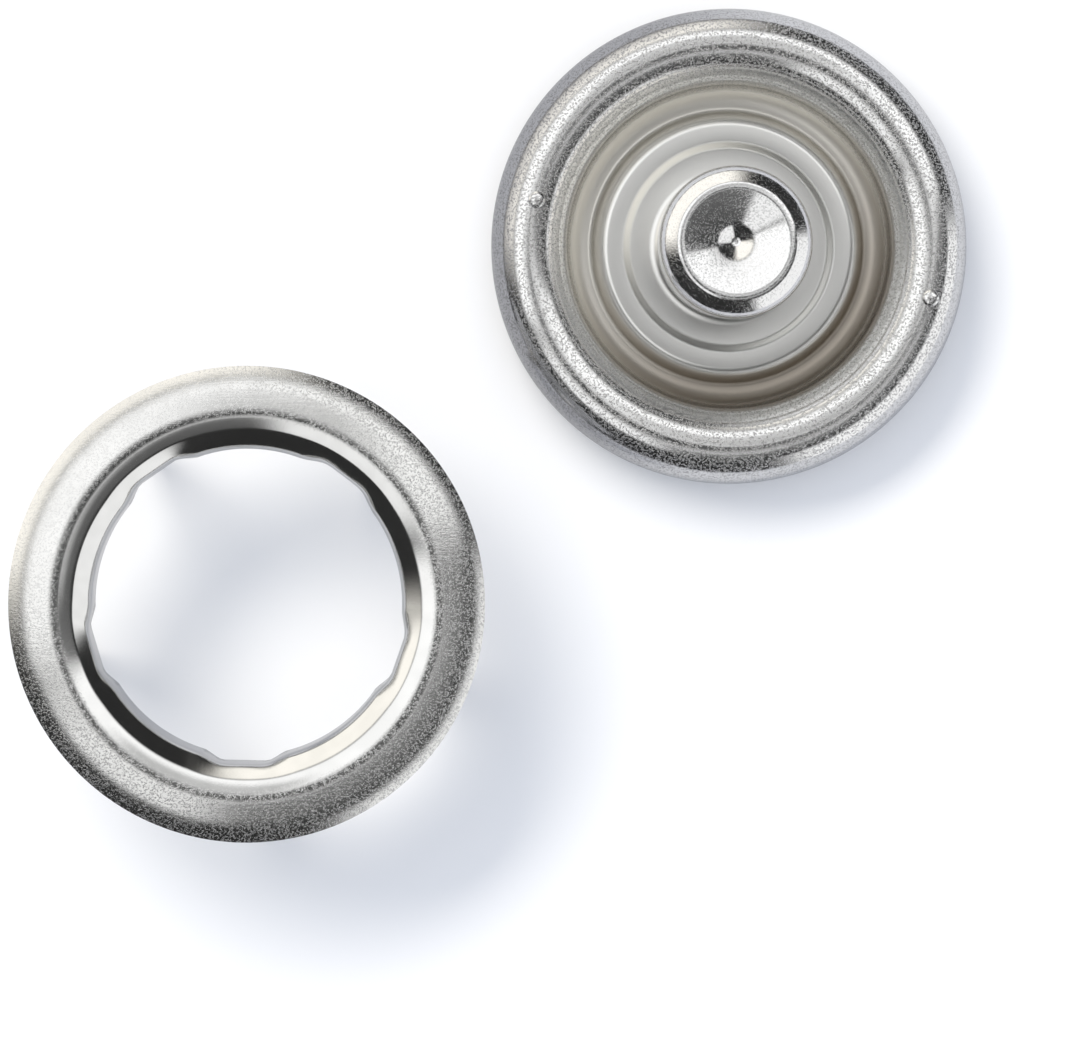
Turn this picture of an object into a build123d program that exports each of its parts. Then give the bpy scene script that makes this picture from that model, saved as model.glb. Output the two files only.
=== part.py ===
from build123d import *
import os
from math import atan2, cos, degrees, radians, sin

# Press snap fastener for jersey cloth: the open prong ring and the stud that it holds.
# Each is one stamping of thin nickel-plated brass sheet. Sizes are in millimetres, +Z is
# up, both pieces lie on z = 0 with their show faces up, and the origin is on that plane
# under the middle of the two.

os.makedirs("parts", exist_ok=True)

# How the two pieces lie beside each other, from the ring's axis to the stud's
pitch_x = 10.04
pitch_y = 7.43

# Stud: hollow post with a mushroom head, measured on the show face of the sheet
stud_sheet = 0.30
stud_height = 3.20
head_radius = 1.58
head_shoulder = 0.40
head_side = 0.50
head_undercut = 0.20
undercut_slope = 0.26
dimple_radius = 1.16
dimple_depth = 0.22
pit_radius = 0.36
pit_depth = 0.24

# Stud: stepped web round the post, from the neck outwards
foot_fillet = 0.34
recess_width = 0.70
recess_height = 0.33
step_ramp = 0.13
step_rise = 0.10
step_width = 0.45
bowl_ramp = 0.22
bowl_width = 0.52
bowl_corner = 0.45

# Stud: rolled rim, half round on top and then tucked under until it nearly closes the
# channel for the prongs
rim_tube_radius = 0.80
rim_tuck = 90

# Prong ring: drawn throat, lip, shoulder, crest and flange, measured on the show face
ring_sheet = 0.30
ring_height = 3.40
throat_depth = 1.35
throat_bend = 0.25
lip_width = 0.38
lip_rise = 0.29
lip_bend = 0.35
shoulder_width = 0.34
shoulder_rise = 0.08
crest_width = 0.12
flange_width = 0.86
flange_drop = 0.24
flange_dome = 0.03

# Prong ring: five flat prongs below the throat, leaning out to the channel in the stud's rim
prong_count = 5
first_prong = 52.8
prong_gap = 0.10
prong_spread = 0.52
prong_inset = 0.10
prong_root_width = 1.45
prong_neck_width = 0.70
prong_point_length = 1.20
prong_tip_width = 0.16
flat_side_width = 0.25
flat_side_run = 0.30

# Most of a wall's height that a bend takes, and the straight bands that take the bends on
# the sheet's hidden side
bend_share = 0.9
foot_bands = 2
bowl_bands = 2
rim_bands = 3
tuck_bands = 3

# Radii that the stud gives from its axis outwards, and the ring's that follow from them
neck_radius = head_radius - head_undercut
step_radius = neck_radius + recess_width
step_edge = step_radius + step_ramp + step_width
bowl_outer = step_edge + bowl_ramp + bowl_width
rim_crest_radius = bowl_outer + rim_tube_radius
stud_radius = rim_crest_radius + rim_tube_radius

prong_tip_radius = bowl_outer + stud_sheet + prong_gap
prong_root_radius = prong_tip_radius - prong_spread
throat_radius = prong_root_radius - prong_inset
shoulder_radius = throat_radius + lip_width
crest_inner = shoulder_radius + shoulder_width
crest_outer = crest_inner + crest_width
ring_radius = crest_outer + flange_width

# Heights of the stud's show face, on a web whose back lies on z = 0
web_level = stud_sheet
recess_level = web_level + recess_height
step_level = recess_level + step_rise
dimple_level = stud_height - dimple_depth
pit_level = dimple_level - pit_depth
undercut_level = stud_height - head_shoulder - head_side
neck_level = undercut_level - undercut_slope
rim_level = rim_tube_radius
bowl_bend = min(bowl_corner, bend_share * (rim_level - web_level))

# Heights of the ring's show face, on prongs whose tips stand on z = 0
throat_level = ring_height - throat_depth
shoulder_level = ring_height - shoulder_rise
lip_level = shoulder_level - lip_rise
flange_level = ring_height - flange_drop
prong_lean = degrees(atan2(prong_spread, throat_level))
prong_length = throat_level / cos(radians(prong_lean))

# Places of the two axes, with the origin under the middle of the pair's outline
ring_x = -(pitch_x + stud_radius - ring_radius) / 2
ring_y = -(pitch_y + stud_radius - ring_radius) / 2
ring_base = Plane((ring_x, ring_y, 0))
stud_base = Plane((ring_x + pitch_x, ring_y + pitch_y, 0))


def section_plane(base):
    """Upright plane through a piece's axis: x is the radius and y the height."""
    return Plane(base.origin, x_dir=base.x_dir, z_dir=-base.y_dir)


def axis_of(base):
    """Turning axis of a piece."""
    return Axis(base.origin, base.z_dir)


def chords(middle, radius, start, turn, count):
    """Corners along an arc, for the hidden side of the sheet, which straight bands follow."""
    steps = [radians(start + turn * step / count) for step in range(count + 1)]
    return [(middle[0] + radius * cos(step), middle[1] + radius * sin(step)) for step in steps]


def behind(points, thickness):
    """Corners of the sheet's back, one thickness to the right of its show face."""
    corners = [Vector(*point) for point in points]
    runs = [(end - start).normalized() for start, end in zip(corners, corners[1:])]
    sides = [Vector(run.Y, -run.X) for run in runs]
    mitres = [(side + after) / (1 + side.dot(after)) for side, after in zip(sides, sides[1:])]
    shifts = [sides[0], *mitres, sides[-1]]
    return [corner + shift * thickness for corner, shift in zip(corners, shifts)]


# Stud, its sheet's show face from the dimple in the head out to the end of the rolled rim,
# and its back one thickness behind
crown = [
    (-pit_radius, dimple_level),
    (0, pit_level),
    (pit_radius, dimple_level),
    (dimple_radius, stud_height),
    (head_radius, stud_height),
    (head_radius, undercut_level),
    (neck_radius, neck_level),
]
step = [
    (step_radius, recess_level),
    (step_radius + step_ramp, step_level),
    (step_edge, step_level),
    (step_edge + bowl_ramp, web_level),
]
foot_middle = (neck_radius + foot_fillet, recess_level + foot_fillet)
bowl_middle = (bowl_outer - bowl_bend, web_level + bowl_bend)
rim_middle = (rim_crest_radius, rim_level)
foot = chords(foot_middle, foot_fillet, 180, 90, foot_bands)
bowl = chords(bowl_middle, bowl_bend, 270, 90, bowl_bands)
rim_top = chords(rim_middle, rim_tube_radius, 180, -180, rim_bands)
tuck = chords(rim_middle, rim_tube_radius, 0, -rim_tuck, tuck_bands)
stud_back = behind([*crown, *foot, *step, *bowl, *rim_top, *tuck[1:]], stud_sheet)

with BuildPart() as stud:
    with BuildSketch(section_plane(stud_base)):
        with BuildLine():
            show_face = FilletPolyline(
                *crown,
                *foot,
                *step,
                (bowl_outer, web_level),
                (bowl_outer, rim_level),
                radius=[0, 0, 0, head_shoulder, 0, 0, 0, 0, 0, 0, 0, 0, 0, bowl_bend],
            )
            CenterArc(rim_middle, rim_tube_radius, 180, -180)
            Polyline(show_face @ 0, *stud_back, *reversed(tuck))
        make_face()
        split(bisect_by=Plane.YZ)
    revolve(axis=axis_of(stud_base))
stud.part.label = "stud"
export_step(stud.part, "parts/stud.step")

# Prong ring, its sheet's show face from the lower edge of the throat out over the crest
# to the edge of the flange, and its back one thickness behind
ring_corners = [
    (throat_radius, throat_level),
    (throat_radius, lip_level),
    (shoulder_radius, shoulder_level),
    (crest_inner, ring_height),
    (crest_outer, ring_height),
    ((crest_outer + ring_radius) / 2, (ring_height + flange_level) / 2 + flange_dome),
    (ring_radius, flange_level),
]

with BuildPart() as prong_ring:
    with BuildSketch(section_plane(ring_base)):
        with BuildLine():
            show_face = FilletPolyline(*ring_corners, radius=[throat_bend, lip_bend, 0, 0, 0])
            Polyline(show_face @ 0, *behind(ring_corners, ring_sheet), show_face @ 1)
        make_face()
    revolve(axis=axis_of(ring_base))

    # Flats pressed into the throat where the prongs leave it
    with BuildSketch(ring_base):
        with PolarLocations(prong_root_radius, prong_count, start_angle=first_prong):
            Polygon(
                (0, prong_root_width / 2 - flat_side_width),
                (-flat_side_run, prong_root_width / 2),
                (-flat_side_run, -prong_root_width / 2),
                (0, flat_side_width - prong_root_width / 2),
                align=None,
            )
    extrude(amount=ring_height, mode=Mode.SUBTRACT)

    # Inner faces of the prongs at their roots in the throat, and of the blades that lean out
    # from there, each with its y pointing up
    roots = []
    blades = []
    for prong in range(prong_count):
        turn = radians(first_prong + prong * 360 / prong_count)
        outwards = Vector(cos(turn), sin(turn), 0)
        across = Vector(-sin(turn), cos(turn), 0)
        hinge = ring_base.origin + outwards * prong_root_radius + Vector(0, 0, throat_level)
        leaning = outwards.rotate(Axis((0, 0, 0), across), -prong_lean)
        roots.append(Plane(hinge, x_dir=across, z_dir=outwards))
        blades.append(Plane(hinge, x_dir=across, z_dir=leaning))

    # Sheet behind the flats
    with BuildSketch(*roots):
        Rectangle(prong_root_width, lip_level - throat_level, align=(Align.CENTER, Align.MIN))
    extrude(amount=ring_sheet)

    # Prongs, flat blades of the same sheet with a long point, standing on z = 0
    with BuildSketch(*blades):
        Polygon(
            (prong_root_width / 2, 0),
            (prong_neck_width / 2, prong_point_length - prong_length),
            (prong_tip_width / 2, -prong_length),
            (-prong_tip_width / 2, -prong_length),
            (-prong_neck_width / 2, prong_point_length - prong_length),
            (-prong_root_width / 2, 0),
            align=None,
        )
    extrude(amount=ring_sheet)
prong_ring.part.label = "prong_ring"
export_step(prong_ring.part, "parts/prong_ring.step")
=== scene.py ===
from math import atan2, cos, pi, radians, sin, tan

import bmesh
import bpy
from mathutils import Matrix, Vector


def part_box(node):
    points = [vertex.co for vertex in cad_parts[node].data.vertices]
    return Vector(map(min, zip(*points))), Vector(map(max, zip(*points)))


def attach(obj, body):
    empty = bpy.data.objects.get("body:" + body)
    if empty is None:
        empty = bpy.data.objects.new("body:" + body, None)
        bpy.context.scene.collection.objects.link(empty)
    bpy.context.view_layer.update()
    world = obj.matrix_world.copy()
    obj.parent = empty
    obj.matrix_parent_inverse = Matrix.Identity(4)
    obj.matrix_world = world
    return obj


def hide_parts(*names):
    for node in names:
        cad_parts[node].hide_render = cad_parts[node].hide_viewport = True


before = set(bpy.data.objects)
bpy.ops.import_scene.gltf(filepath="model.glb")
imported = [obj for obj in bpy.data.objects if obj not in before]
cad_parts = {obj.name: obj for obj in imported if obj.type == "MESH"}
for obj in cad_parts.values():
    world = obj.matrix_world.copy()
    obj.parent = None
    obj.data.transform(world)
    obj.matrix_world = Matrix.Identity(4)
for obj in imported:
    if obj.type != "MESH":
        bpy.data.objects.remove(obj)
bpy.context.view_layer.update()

# The prong ring is one stamping of thin brass sheet, nickel plated. It is blanked, its open
# middle is drawn down into a throat, and five prongs are bent down from the throat's edge.
# It stands on the points of its prongs, with its satin flange up.
ring_low, ring_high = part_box("prong_ring")
ring_axis = (ring_low + ring_high) / 2
ring_radius = (ring_high.x - ring_low.x) / 2
ring_height = ring_high.z
ring_sheet = 0.30e-3
throat_radius = 3.18e-3
throat_depth = 1.35e-3
throat_bend = 0.25e-3
lip_width = 0.38e-3
lip_rise = 0.29e-3
lip_bend = 0.35e-3
shoulder_width = 0.30e-3
shoulder_rise = 0.08e-3
crest_width = 0.18e-3
crest_bend = 0.40e-3
flange_drop = 0.24e-3
flange_dome = 0.03e-3
flange_bend = 1.20e-3
cut_edge = 0.02e-3

prong_count = 5
first_prong = radians(52.8)
prong_inset = 0.10e-3
prong_spread = 0.52e-3
prong_half_turn = radians(13.3)
prong_neck_share = 0.483
prong_tip_share = 0.229
prong_point_length = 1.20e-3
steps_between_prongs = 38

throat_level = ring_height - throat_depth
shoulder_level = ring_height - shoulder_rise
lip_level = shoulder_level - lip_rise
shoulder_radius = throat_radius + lip_width
crest_radius = shoulder_radius + shoulder_width
flange_start = crest_radius + crest_width
flange_middle = (flange_start + ring_radius) / 2
edge_level = ring_height - flange_drop
dome_level = (ring_height + edge_level) / 2 + flange_dome
prong_lean = atan2(prong_spread, throat_level)

same_place = 1e-7
seam_gap = 1e-6
bend_chord = radians(8)
smooth_turn = radians(40)
cut_turn = radians(50)


def pick(test):
    """Selects, in edit mode, the vertices whose place passes the test."""
    bpy.ops.mesh.select_mode(type="VERT")
    bpy.ops.mesh.select_all(action="DESELECT")
    mesh = bpy.context.object.data
    shape = bmesh.from_edit_mesh(mesh)
    for vertex in shape.verts:
        vertex.select_set(bool(test(vertex.co)))
    shape.select_flush_mode()
    bmesh.update_edit_mesh(mesh)


def round_corner(before, corner, after):
    """Rounds one corner of the line by its bend radius, with short chords."""
    arriving = Vector(corner[:2]) - Vector(before[:2])
    leaving = Vector(after[:2]) - Vector(corner[:2])
    turn = arriving.angle(leaving)
    bent = Vector((corner[0], 0, corner[1]))
    pick(lambda place: (place - bent).length < same_place)
    bpy.ops.mesh.bevel(
        offset=corner[2] * tan(turn / 2),
        segments=max(2, round(turn / bend_chord)),
        affect="VERTICES",
    )


def press_line(name, corners):
    """A line of edges through corners in the upright plane, each a radius, a height and a bend."""
    bpy.ops.object.select_all(action="DESELECT")
    radius, height, _ = corners[0]
    bpy.ops.mesh.primitive_plane_add(size=ring_sheet, location=(0, 0, 0))
    piece = bpy.context.object
    piece.name = name
    bpy.ops.object.mode_set(mode="EDIT")
    bpy.ops.mesh.merge(type="CENTER")
    bpy.ops.transform.translate(value=(radius, 0, height))
    here = Vector((radius, 0, height))
    for radius, height, _ in corners[1:]:
        there = Vector((radius, 0, height))
        bpy.ops.mesh.extrude_region_move(TRANSFORM_OT_translate={"value": there - here})
        here = there
    for before, corner, after in zip(corners, corners[1:], corners[2:]):
        if corner[2] > 0:
            round_corner(before, corner, after)
    return piece


ring = press_line(
    "ring",
    [
        (throat_radius, throat_level, 0),
        (throat_radius, throat_level + prong_inset, 0),
        (throat_radius, lip_level, throat_bend),
        (shoulder_radius, shoulder_level, lip_bend),
        (crest_radius, ring_height, crest_bend),
        (flange_start, ring_height, crest_bend),
        (flange_middle, dome_level, flange_bend),
        (ring_radius, edge_level, 0),
    ],
)

# Half of one fifth of the ring, from the middle of a prong to half way to the next
half_steps = steps_between_prongs // 2
bpy.ops.mesh.select_all(action="SELECT")
bpy.ops.mesh.spin(steps=half_steps, angle=pi / prong_count, center=(0, 0, 0), axis=(0, 0, 1))
bpy.ops.mesh.select_all(action="SELECT")
bpy.ops.mesh.remove_doubles(threshold=same_place)


def azimuth(place):
    """Angle of a place round the upright axis through the origin."""
    return Vector((1, 0)).angle_signed(Vector((place.x, -place.y)), 0)


# A flat pressed into the throat above the prong, with soft sides
prong_face = throat_radius + prong_inset
flat_bands = (
    (1.0, 0.87, 0.85),
    (0.87, 0.72, 0.55),
    (0.72, 0.58, 0.2),
    (0.58, -1, 0.0),
)
for outer_share, inner_share, roundness in flat_bands:
    far = prong_half_turn * outer_share
    near = prong_half_turn * inner_share
    pick(lambda place: near < abs(azimuth(place)) <= far and place.x < prong_face)
    bpy.ops.transform.resize(value=(roundness, 1, 1), center_override=(prong_face, 0, 0))


def above_prong(place):
    """Whether a place is on the throat's lower edge, where the prong leaves it."""
    return abs(azimuth(place)) < prong_half_turn and place.z < throat_level + same_place


# Half a prong, drawn down from the throat's edge on its leaning plane
blade_length = throat_level / cos(prong_lean)
blade_direction = Vector((sin(prong_lean), 0, -cos(prong_lean)))
blade_parts = (
    (blade_length - prong_point_length, prong_neck_share),
    (prong_point_length, prong_tip_share),
)
pick(above_prong)
bpy.ops.transform.resize(value=(0, 1, 1), center_override=(prong_face, 0, 0))
for length, share in blade_parts:
    drop = blade_direction * length
    bpy.ops.mesh.extrude_region_move(TRANSFORM_OT_translate={"value": drop})
    bpy.ops.transform.resize(value=(1, share, 1), center_override=(0, 0, 0))
bpy.ops.object.mode_set(mode="OBJECT")
mirror = ring.modifiers.new("other half", "MIRROR")
mirror.use_axis = (False, True, False)
mirror.merge_threshold = same_place
bpy.ops.object.modifier_apply(modifier=mirror.name)

# Five of these round the axis make the ring
bpy.ops.object.mode_set(mode="EDIT")
bpy.ops.mesh.select_all(action="SELECT")
bpy.ops.mesh.spin(
    steps=prong_count - 1,
    dupli=True,
    angle=2 * pi * (prong_count - 1) / prong_count,
    center=(0, 0, 0),
    axis=(0, 0, 1),
)
bpy.ops.mesh.select_all(action="SELECT")
bpy.ops.mesh.remove_doubles(threshold=seam_gap)

# The bend above each flat, rounded where the flat cuts it
half_pitch = pi / prong_count
worked_turn = prong_half_turn * 1.2
bend_start = lip_level - throat_bend / 2


def above_flat(place):
    """Whether a place is in the bend above one of the flats."""
    from_prong = abs((azimuth(place) + half_pitch) % (2 * half_pitch) - half_pitch)
    in_bend = place.z > bend_start and place.xy.length < shoulder_radius
    return from_prong < worked_turn and in_bend


pick(above_flat)
bpy.ops.mesh.vertices_smooth(factor=0.5, repeat=5)

# The sheet's show face is turned up, and then it gets its thickness and its cut edges
bpy.ops.mesh.select_all(action="SELECT")
bpy.ops.mesh.remove_doubles(threshold=seam_gap)
bpy.ops.mesh.normals_make_consistent(inside=False)
shape = bmesh.from_edit_mesh(ring.data)
top = max(shape.faces, key=lambda face: face.calc_center_median().z)
if top.normal.z < 0:
    bpy.ops.mesh.flip_normals()
bpy.ops.object.mode_set(mode="OBJECT")
thickness = ring.modifiers.new("sheet", "SOLIDIFY")
thickness.thickness = ring_sheet
thickness.offset = -1
thickness.use_even_offset = True
bpy.ops.object.modifier_apply(modifier=thickness.name)
cut = ring.modifiers.new("cut edges", "BEVEL")
cut.width = cut_edge
cut.segments = 2
cut.limit_method = "ANGLE"
cut.angle_limit = cut_turn
bpy.ops.object.modifier_apply(modifier=cut.name)
bpy.ops.object.shade_smooth_by_angle(angle=smooth_turn)


def set_down(piece, axis, turn):
    """Moves a finished piece from the origin to its axis and applies its place."""
    piece.rotation_euler.z = turn
    piece.location = (axis.x, axis.y, 0)
    bpy.ops.object.transform_apply(location=True, rotation=True, scale=True)


set_down(ring, ring_axis, first_prong)


class Wire:
    """A socket of a shader tree that can stand in a Python expression."""

    def __init__(self, tree, socket=None):
        self.tree = tree
        self.socket = socket

    def node(self, kind, settings, inputs, output=0):
        """Adds a node: its settings first, then values or links for its sockets."""
        made = self.tree.nodes.new(kind)
        for name, value in settings.items():
            setattr(made, name, value)
        for name, value in inputs.items():
            if isinstance(value, Wire):
                value.feed(made, name)
            else:
                made.inputs[name].default_value = value
        return Wire(self.tree, made.outputs[output])

    def feed(self, node, name):
        """Links this socket to one of a node's inputs."""
        self.tree.links.new(self.socket, node.inputs[name])

    def maths(self, operation, *values):
        return self.node("ShaderNodeMath", {"operation": operation}, dict(enumerate(values)))

    def __add__(self, other):
        return self.maths("ADD", self, other)

    def __sub__(self, other):
        return self.maths("SUBTRACT", self, other)

    def __mul__(self, other):
        return self.maths("MULTIPLY", self, other)

    def __truediv__(self, other):
        return self.maths("DIVIDE", self, other)

    def __pow__(self, other):
        return self.maths("POWER", self, other)

    def __rsub__(self, other):
        return self.maths("SUBTRACT", other, self)

    __radd__ = __add__
    __rmul__ = __mul__

    def rise(self, low, high):
        """0 below low, 1 above high, and a smooth step between."""
        limits = {"Value": self, "From Min": low, "From Max": high}
        return self.node("ShaderNodeMapRange", {"interpolation_type": "SMOOTHSTEP"}, limits)

    def band(self, low, high, soft):
        """1 between low and high, 0 outside, with soft edges."""
        return self.rise(low - soft, low + soft) - self.rise(high - soft, high + soft)

    def mix(self, first, second):
        """The first colour where this is 0, the second where it is 1."""
        colours = {0: self, 6: first, 7: second}
        return self.node("ShaderNodeMix", {"data_type": "RGBA"}, colours, 2)

    def parts(self):
        """The x, y and z of a vector."""
        return [self.node("ShaderNodeSeparateXYZ", {}, {"Vector": self}, letter) for letter in "XYZ"]


def nickel(name, axis):
    """A bare metal, its shader node, and the coordinates of its surface from the piece's axis."""
    finish = bpy.data.materials.new(name)
    finish.use_nodes = True
    shader = finish.node_tree.nodes["Principled BSDF"]
    shader.inputs["Metallic"].default_value = 1
    start = Wire(finish.node_tree)
    surface = start.node("ShaderNodeTexCoord", {}, {}, "Object")
    place = start.node(
        "ShaderNodeMapping",
        {"vector_type": "TEXTURE"},
        {"Vector": surface, "Location": (axis.x, axis.y, 0)},
    )
    return finish, shader, place


def grain(place, size, stretch=(1, 1, 1), turn=0.0):
    """Noise with spots of one size in metres, stretched along a direction of the surface."""
    laid = place.node(
        "ShaderNodeMapping",
        {"vector_type": "POINT"},
        {"Vector": place, "Rotation": (0, 0, turn), "Scale": stretch},
    )
    settings = {"Vector": laid, "Scale": 1 / size, "Detail": 2, "Roughness": 0.75}
    return place.node("ShaderNodeTexNoise", {}, settings)


def fine_specks(place):
    """The tumbled metal's fine specks: 1 in each of them and 0 between."""
    return grain(place, 0.045e-3).rise(0.52, 0.64)


def towards(x, y, bearing):
    """How far a place lies towards a bearing, in degrees from +X."""
    return x * cos(radians(bearing)) + y * sin(radians(bearing))


def dent(height, depth, before=None):
    """Bump of a depth in metres, over another if one is given."""
    inputs = {"Height": height, "Distance": depth, "Strength": 1.0}
    if before:
        inputs["Normal"] = before
    return height.node("ShaderNodeBump", {}, inputs)


# Satin finish, brightest in the throat and smoothest on the side that was handled
handled_bearing = 140
satin_dark = (0.76, 0.76, 0.75, 1)
satin_light = (0.81, 0.81, 0.80, 1)
satin_speck = (0.76, 0.76, 0.76, 1)
satin_cloud_size = 0.9e-3
scratch_size = 0.05e-3
scratch_stretch = (0.05, 1, 1)
scratch_turn = radians(-45)
scratch_depth = 0.002e-3
satin_speck_depth = 0.0028e-3
crest_fade = 0.10e-3

satin, satin_shader, place = nickel("satin_nickel", ring_axis)
x, y, _ = place.parts()
radius = (x * x + y * y) ** 0.5
flange = radius.rise(crest_radius - crest_fade, flange_start)
handled = (towards(x, y, handled_bearing) / radius).rise(0.2, 0.9)
scratches = grain(place, scratch_size, scratch_stretch, scratch_turn)
specks = fine_specks(place) * (1 - 0.65 * handled)
clouds = grain(place, satin_cloud_size)
tint = clouds.rise(0.35, 0.65).mix(satin_dark, satin_light)
tint = (specks * flange).mix(tint, satin_speck)
roughness = 0.08 + 0.07 * flange + 0.05 * clouds
relief = dent(scratches * flange, scratch_depth)
relief = dent(specks * (0.05 + 0.95 * flange), satin_speck_depth, relief)
tint.feed(satin_shader, "Base Color")
roughness.feed(satin_shader, "Roughness")
relief.feed(satin_shader, "Normal")
ring.data.materials.append(satin)
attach(ring, "root")
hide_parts("prong_ring")

# The stud is one stamping of the same sheet, bright nickel plated. A hollow post with a
# mushroom head is drawn up from the middle, the web round it is stepped, and the rim is
# rolled outwards and under. It lies on the back of its web.
stud_low, stud_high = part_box("stud")
stud_axis = (stud_low + stud_high) / 2
stud_radius = (stud_high.x - stud_low.x) / 2
stud_height = stud_high.z
stud_sheet = 0.30e-3
head_radius = 1.58e-3
head_shoulder = 0.40e-3
head_top = 1.20e-3
head_slope = 0.22e-3
head_top_bend = 0.15e-3
head_slope_bend = 0.34e-3
head_side = 0.50e-3
head_bend = 0.12e-3
undercut = 0.20e-3
undercut_slope = 0.26e-3
dimple_radius = 1.08e-3
dimple_depth = 0.22e-3
dimple_bend = 0.10e-3
pit_radius = 0.36e-3
pit_depth = 0.24e-3
pit_bend = 0.50e-3
point_radius = 0.10e-3
point_height = 0.05e-3

foot_bend = 0.30e-3
recess_width = 0.70e-3
recess_height = 0.33e-3
step_ramp = 0.13e-3
step_rise = 0.10e-3
step_width = 0.45e-3
step_bend = 0.12e-3
step_edge_bend = 0.20e-3
bowl_ramp = 0.22e-3
bowl_width = 0.52e-3
bowl_bend = 0.44e-3
rim_tube = 0.80e-3
stud_steps = 180

neck_radius = head_radius - undercut
step_radius = neck_radius + recess_width
step_edge = step_radius + step_ramp + step_width
bowl_radius = step_edge + bowl_ramp + bowl_width
rim_middle = bowl_radius + rim_tube
recess_level = stud_sheet + recess_height
step_level = recess_level + step_rise
dimple_level = stud_height - dimple_depth
pit_level = dimple_level - pit_depth
point_foot = pit_level + point_radius * (dimple_level - pit_level) / pit_radius
point_bend = point_radius / 3
undercut_level = stud_height - head_shoulder - head_side

show_face = [
    (0, pit_level, 0),
    (pit_radius, dimple_level, pit_bend),
    (dimple_radius, stud_height, dimple_bend),
    (head_top, stud_height, head_top_bend),
    (head_radius, stud_height - head_slope, head_slope_bend),
    (head_radius, undercut_level, head_bend),
    (neck_radius, undercut_level - undercut_slope, head_bend),
    (neck_radius, recess_level, foot_bend),
    (step_radius, recess_level, step_bend),
    (step_radius + step_ramp, step_level, step_bend),
    (step_edge, step_level, step_edge_bend),
    (step_edge + bowl_ramp, stud_sheet, step_bend),
    (bowl_radius, stud_sheet, bowl_bend),
    (bowl_radius, 2 * rim_tube, rim_tube),
    (stud_radius, 2 * rim_tube, rim_tube),
    (stud_radius, 0, rim_tube),
    (rim_middle, 0, 0),
]
point = [
    (0, pit_level + point_height, 0),
    (point_radius / 2, pit_level + point_height, point_bend),
    (point_radius, point_foot, point_bend),
]


def back_of(corners, sheet):
    """The back of a line that starts on the axis, from its end to its start, with its bends
    round the same middles."""
    places = [Vector(corner[:2]) for corner in corners]
    runs = [(after - before).normalized() for before, after in zip(places, places[1:])]
    sides = [Vector((run.y, -run.x)) for run in runs]
    turns = zip(places[1:], sides, sides[1:], runs[1:], corners[1:])
    back = [(0, places[0].y + sheet / sides[0].y, 0)]
    for place, side, following, run, corner in turns:
        inwards = side.dot(run) > 0
        bend = corner[2] - sheet if inwards else corner[2] + sheet
        mitre = (side + following) / (1 + side.dot(following))
        back.append((*(place + mitre * sheet), max(bend, cut_edge)))
    back.append((*(places[-1] + sides[-1] * sheet), cut_edge))
    return back[::-1]


stud = press_line("snap_stud", point + show_face[1:] + back_of(show_face, stud_sheet))
bpy.ops.mesh.select_all(action="SELECT")
bpy.ops.mesh.spin(steps=stud_steps, angle=2 * pi, center=(0, 0, 0), axis=(0, 0, 1))
bpy.ops.mesh.select_all(action="SELECT")
bpy.ops.mesh.remove_doubles(threshold=seam_gap)
bpy.ops.mesh.normals_make_consistent(inside=False)
bpy.ops.object.mode_set(mode="OBJECT")

# Two round pips struck up on the rim, each with its bearing and its distance from the axis
pip_radius = 0.18e-3
pip_height = 0.07e-3
pips = ((radians(167), 4.17e-3), (radians(345), 4.30e-3))
for bearing, distance in pips:
    rim_top = rim_tube + (rim_tube**2 - (distance - rim_middle) ** 2) ** 0.5
    bpy.ops.mesh.primitive_uv_sphere_add(
        segments=24,
        ring_count=12,
        radius=pip_radius,
        location=(distance * cos(bearing), distance * sin(bearing), rim_top),
        scale=(1, 1, pip_height / pip_radius),
    )
    pip = bpy.context.object
    bpy.context.view_layer.objects.active = stud
    struck = stud.modifiers.new("pip", "BOOLEAN")
    struck.object = pip
    struck.operation = "UNION"
    bpy.ops.object.modifier_apply(modifier=struck.name)
    bpy.ops.object.select_all(action="DESELECT")
    pip.select_set(True)
    pip_mesh = pip.data
    bpy.ops.object.delete()
    bpy.data.meshes.remove(pip_mesh)
stud.select_set(True)
bpy.ops.object.shade_smooth_by_angle(angle=smooth_turn)
set_down(stud, stud_axis, 0)

# Bright finish, with painted shade darkening the bowl towards the lower right and the outer wall on
# its left side, and fine specks on the rim
# The bowl's bearing and two colours paint shade: its lit colour on the upper left, painted dark
# brown on the lower right
bowl_lit_bearing = 120
# The outer wall's bearing, span and colours paint shade on its left side
wall_shade_bearing = 170
wall_shade_start = 4.48e-3
wall_shade_end = 4.70e-3
rim_fade = 0.15e-3
head_fade = 0.3e-3
bowl_fade = 0.08e-3
bright_plating = (0.86, 0.86, 0.86, 1)
web_plating = (0.90, 0.90, 0.88, 1)
bowl_painted_shade = (0.42, 0.38, 0.33, 1)
bowl_lit_colour = (0.78, 0.76, 0.71, 1)
wall_painted_shade = (0.50, 0.50, 0.51, 1)
bright_speck = (0.64, 0.64, 0.64, 1)
wall_shade_speck = (0.30, 0.30, 0.31, 1)
bright_cloud_size = 0.8e-3
bright_speck_depth = 0.0045e-3

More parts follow.
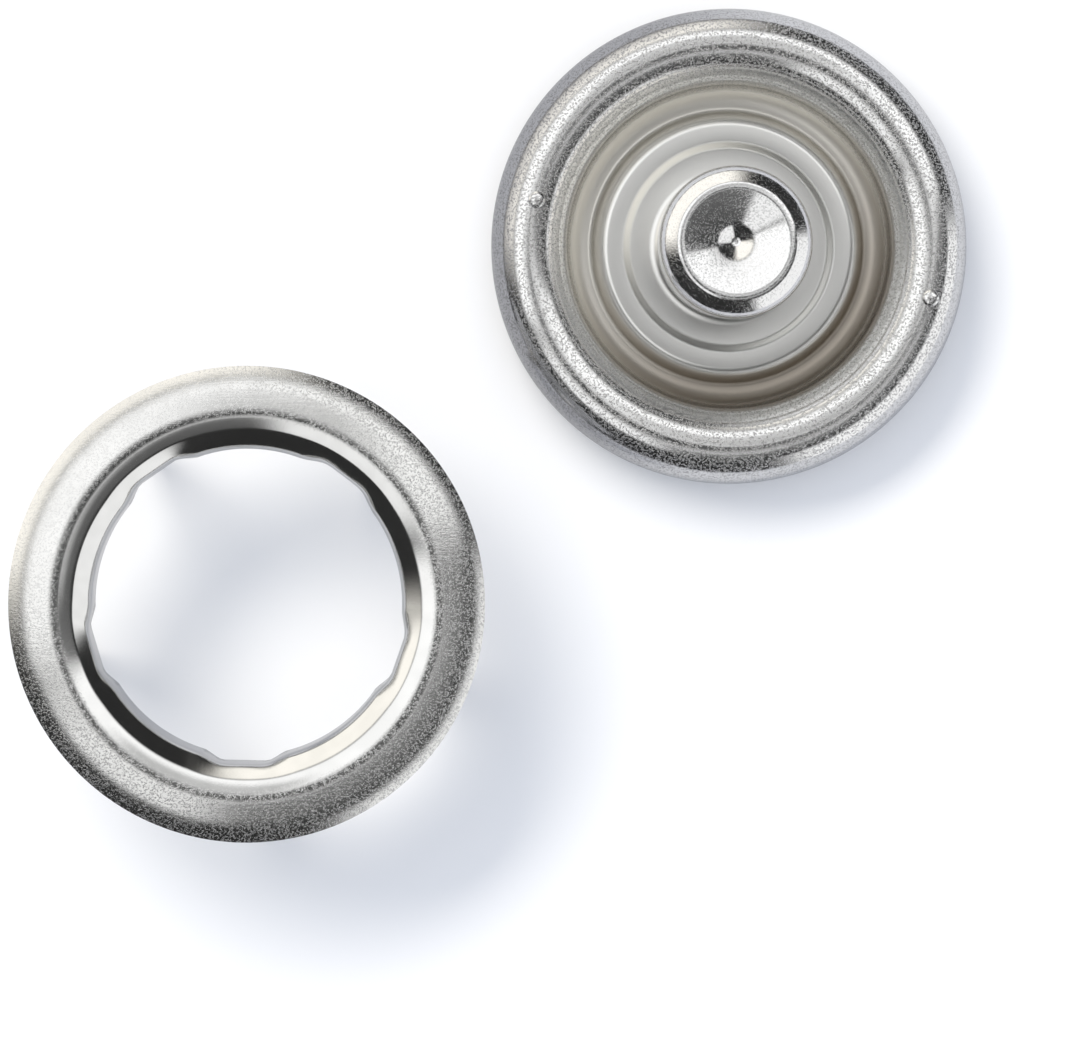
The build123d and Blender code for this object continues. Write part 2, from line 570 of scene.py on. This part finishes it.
bright, bright_shader, place = nickel("bright_nickel", stud_axis)
x, y, level = place.parts()
radius = (x * x + y * y) ** 0.5
rim = radius.rise(bowl_radius - rim_fade, bowl_radius)
head = level.rise(undercut_level - head_fade, undercut_level)
web = (1 - rim) * (1 - head)
bowl = radius.band(step_edge + bowl_fade, bowl_radius - bowl_fade, bowl_fade)
# Painted shade: the bowl goes from its lit colour to dark brown away from the lit side
bowl_shade_side = (towards(x, y, bowl_lit_bearing) / radius).rise(-0.95, 0.6)
# Painted shade: the outer wall is painted darker on its left side, and its specks darker still,
# standing in for a dark reflection
wall_shade = radius.rise(wall_shade_start, wall_shade_end) * (towards(x, y, wall_shade_bearing) / radius).rise(-0.1, 0.6)
specks = fine_specks(place)
clouds = grain(place, bright_cloud_size)
tint = web.mix(bright_plating, web_plating)
tint = bowl.mix(tint, bowl_shade_side.mix(bowl_painted_shade, bowl_lit_colour))
tint = wall_shade.mix(tint, wall_painted_shade)
tint = (specks * rim).mix(tint, wall_shade.mix(bright_speck, wall_shade_speck))
roughness = 0.07 + 0.20 * web + 0.06 * bowl + 0.04 * rim + 0.05 * clouds
relief = dent(specks * (0.04 + 0.96 * rim + 0.20 * head), bright_speck_depth)
tint.feed(bright_shader, "Base Color")
roughness.feed(bright_shader, "Roughness")
relief.feed(bright_shader, "Normal")
stud.data.materials.append(bright)
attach(stud, "root")
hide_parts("stud")

# The two pieces lie on a sheet of white paper. It is far larger than they are, so no edge of
# it shows, and the metal mirrors it darker than it looks.
floor_size = 2.0
lit_paper = (0.95, 0.95, 0.95, 1)
mirrored_paper = (0.60, 0.60, 0.61, 1)
bpy.ops.object.select_all(action="DESELECT")
bpy.ops.mesh.primitive_plane_add(size=floor_size, location=(0, 0, 0))
floor = bpy.context.object
floor.name = "floor"
paper = bpy.data.materials.new("white_paper")
paper.use_nodes = True
paper_shader = paper.node_tree.nodes["Principled BSDF"]
paper_shader.inputs["Roughness"].default_value = 0.9
paper_shader.inputs["Specular IOR Level"].default_value = 0.0
mirrored = Wire(paper.node_tree).node("ShaderNodeLightPath", {}, {}, "Is Glossy Ray")
mirrored.mix(lit_paper, mirrored_paper).feed(paper_shader, "Base Color")
floor.data.materials.append(paper)

# One soft lamp high on the upper left throws the shadows towards the lower right. It is wide
# and shallow, which blurs the prongs' shadows on the paper, and the metal doesn't mirror it,
# because the studio's panels are what it mirrors.
lamp_distance = 0.5
lamp_azimuth = radians(131)
lamp_rise = radians(41)
lamp_width = 0.45
lamp_depth = 0.17
lamp_power = 1.80
lamp_colour = (1.0, 0.95, 0.86)
lamp_reach = cos(lamp_rise)
direction = Vector((cos(lamp_azimuth) * lamp_reach, sin(lamp_azimuth) * lamp_reach, sin(lamp_rise)))
bpy.ops.object.light_add(type="AREA", location=direction * lamp_distance)
lamp = bpy.context.object
lamp.rotation_euler = direction.to_track_quat("Z", "Y").to_euler()
lamp.data.shape = "ELLIPSE"
lamp.data.size = lamp_width
lamp.data.size_y = lamp_depth
lamp.data.energy = lamp_power
lamp.data.color = lamp_colour
lamp.visible_glossy = False

# The studio round them: metal sees bright panels with dark gaps between, the paper is lit
# evenly from the whole sky, and the camera sees white.
sky_light = (0.775, 0.815, 0.90, 1)
backdrop = (1, 1, 1, 1)
ceiling_bearing = 108
lens_tilt = radians(4)
lens_bearing = radians(224)
world = bpy.data.worlds.new("studio")
bpy.context.scene.world = world
world.use_nodes = True
world.cycles.sampling_method = "NONE"
background = world.node_tree.nodes["Background"]
start = Wire(world.node_tree)
x, y, z = start.node("ShaderNodeTexCoord", {}, {}, "Generated").parts()


def angle_of(cosine):
    """The angle in degrees that has this cosine."""
    return cosine.maths("ARCCOSINE", cosine) * (180 / pi)


down = angle_of(z)


def panel(bearing, width, high, low, soft=6.0):
    """A bright panel in degrees: its middle's bearing, its width, and the upper and lower edge,
    counted down from straight above."""
    ahead = towards(x, y, bearing)
    across = towards(x, y, bearing + 90)
    swing = across.maths("ARCTAN2", across, ahead) * (180 / pi)
    return swing.band(-width / 2, width / 2, soft) * down.band(high, low, soft / 2)


# Panels, and the ceiling's bright half
warm_panel = panel(bearing=132, width=100, high=50, low=84, soft=12.0)
right_panel = panel(bearing=330, width=78, high=52, low=98)
high_panel = panel(bearing=232, width=50, high=12, low=42)
faint_panel = panel(bearing=305, width=90, high=14, low=24)
glow = 0.03 + 0.11 * (1 - down.rise(25, 50))
ceiling = towards(x, y, ceiling_bearing).rise(-0.05, 0.02) * (1 - down.rise(38, 52))
studio = glow + 1.10 * ceiling + 1.2 * warm_panel + right_panel + 0.9 * high_panel
studio = studio + 0.40 * faint_panel

# A screen over the far side, and the dark lens, which metal that faces straight up mirrors
screen = panel(bearing=82, width=70, high=-20, low=26)
lens_x = sin(lens_tilt) * cos(lens_bearing)
lens_y = sin(lens_tilt) * sin(lens_bearing)
from_lens = angle_of(x * lens_x + y * lens_y + z * cos(lens_tilt))
studio = studio * (1 - 0.5 * screen)
studio = studio * (0.15 + 0.50 * from_lens.rise(4.5, 8) + 0.35 * from_lens.rise(8, 20))

# What each kind of ray sees
seen = start.node("ShaderNodeLightPath", {}, {}, "Is Camera Ray")
mirrored = start.node("ShaderNodeLightPath", {}, {}, "Is Glossy Ray")
tinted = {"Red": studio, "Green": studio - 0.04 * warm_panel, "Blue": studio - 0.12 * warm_panel}
mirrored_studio = start.node("ShaderNodeCombineColor", {}, tinted)
seen.mix(mirrored.mix(sky_light, mirrored_studio), backdrop).feed(background, "Color")

# The camera looks straight down from 85 mm, over a point left of the stud, and its frame is
# shifted to take in both pieces as the photograph does.
camera_height = 0.085
camera_foot = Vector((-1.43e-3, -0.21e-3, 0))
frame_width = 22.95e-3
frame_shift = (0.1065, -0.0917)
sensor = 36.0
nearest = 0.001
bpy.ops.object.camera_add(location=camera_foot + Vector((0, 0, camera_height)), rotation=(0, 0, 0))
camera = bpy.context.object
camera.data.sensor_fit = "HORIZONTAL"
camera.data.sensor_width = sensor
camera.data.lens = sensor * camera_height / frame_width
camera.data.shift_x, camera.data.shift_y = frame_shift
camera.data.clip_start = nearest
bpy.context.scene.camera = camera
bpy.context.scene.view_settings.view_transform = "Standard"
